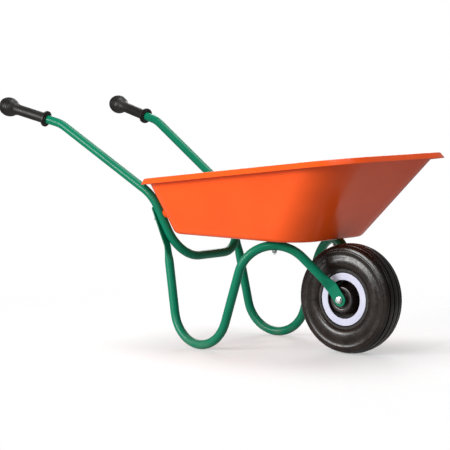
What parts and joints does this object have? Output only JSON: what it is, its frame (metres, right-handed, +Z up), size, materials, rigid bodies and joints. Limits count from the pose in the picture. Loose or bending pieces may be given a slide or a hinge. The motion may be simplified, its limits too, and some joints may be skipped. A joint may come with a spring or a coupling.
{
  "type": "wheelbarrow",
  "caption": "Single-wheel garden wheelbarrow: deep flared steel tray with a folded rim on bent tube handles and looped tube legs, black grips and ribbed tyre.",
  "frame": {"origin": "on the ground, in the centre plane, midway between the grips' outer ends and the tray's front rim", "axes": "+X forward towards the wheel, +Y to the left, +Z up"},
  "size_m": [1.5106, 0.6942, 0.8363],
  "materials": {
    "orange_paint": "gloss",
    "green_paint": "gloss",
    "zinc_steel": "satin",
    "grip_rubber": "satin",
    "tyre_rubber": "matte",
    "rim_plastic": "satin",
    "pale_plastic": "satin",
    "bush_plastic": "satin"
  },
  "bodies": {
    "frame": {"tray": "orange_paint", "handle_tube": "green_paint", "right_leg_tube": "green_paint", "left_leg_tube": "green_paint", "right_grip": "grip_rubber", "left_grip": "grip_rubber", "rear_bolts": "zinc_steel", "rear_washers": "zinc_steel", "rear_nuts": "zinc_steel", "floor_bolts": "zinc_steel", "floor_washers": "zinc_steel", "floor_nuts": "zinc_steel", "axle_bolt": "zinc_steel", "axle_nut": "zinc_steel", "axle_washers": "zinc_steel", "axle_sleeve": "zinc_steel"},
    "wheel": {"wheel_rim": "rim_plastic", "tyre": "tyre_rubber", "right_trim_ring": "pale_plastic", "left_trim_ring": "pale_plastic", "right_hub_bush": "bush_plastic", "left_hub_bush": "bush_plastic"}
  },
  "joints": [
    {"name": "wheel_spin", "type": "hinge", "parent": "frame", "child": "wheel", "pos_m": [0.5395, 0, 0.18], "axis": [0, 1, 0], "continuous": true}
  ]
}
